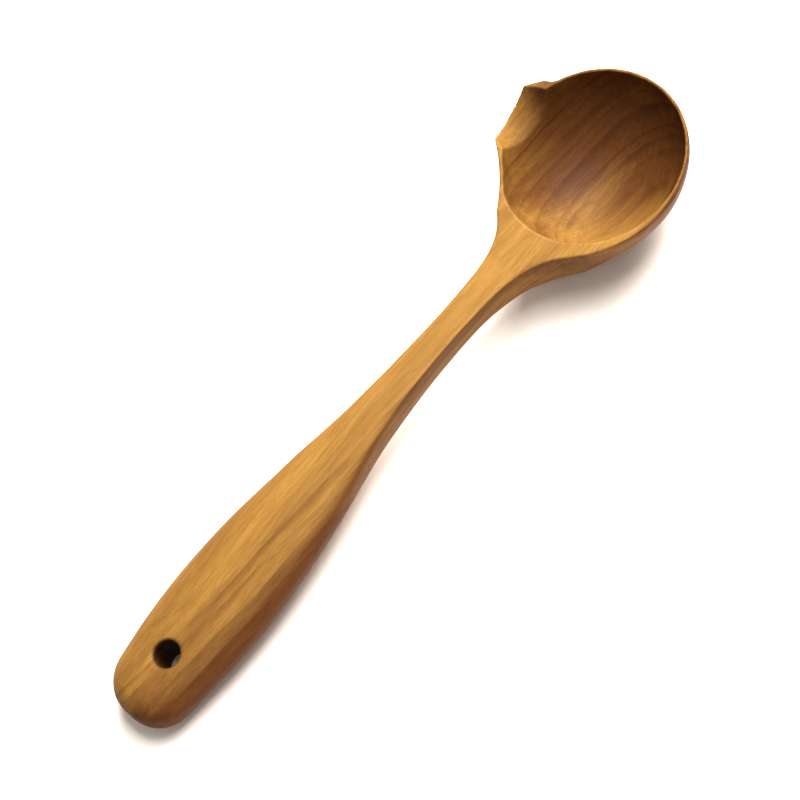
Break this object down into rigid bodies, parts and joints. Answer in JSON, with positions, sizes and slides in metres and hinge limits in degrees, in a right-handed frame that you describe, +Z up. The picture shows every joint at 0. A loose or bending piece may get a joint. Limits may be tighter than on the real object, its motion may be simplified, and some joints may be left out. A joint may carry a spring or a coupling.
{
  "type": "wooden ladle",
  "caption": "Carved wooden ladle with a round bowl, a pouring lip on one side, a slim square-edged neck and a broad rounded grip with a hanging hole.",
  "frame": {"origin": "a point on the small sanded flat under the bowl, below the centre of the bowl, on the table", "axes": "+X along the ladle from the grip's end to the bowl's tip, +Y towards the pouring lip, +Z up as it lies on a table"},
  "size_m": [0.3, 0.0783, 0.0356],
  "materials": {
    "bowl_wood": "oiled, satin",
    "lip_wood": "oiled, satin",
    "neck_wood": "oiled, satin",
    "grip_wood": "oiled, satin"
  },
  "bodies": {
    "root": {"bowl": "bowl_wood", "pouring_lip": "lip_wood", "neck": "neck_wood", "grip": "grip_wood"}
  },
  "joints": []
}
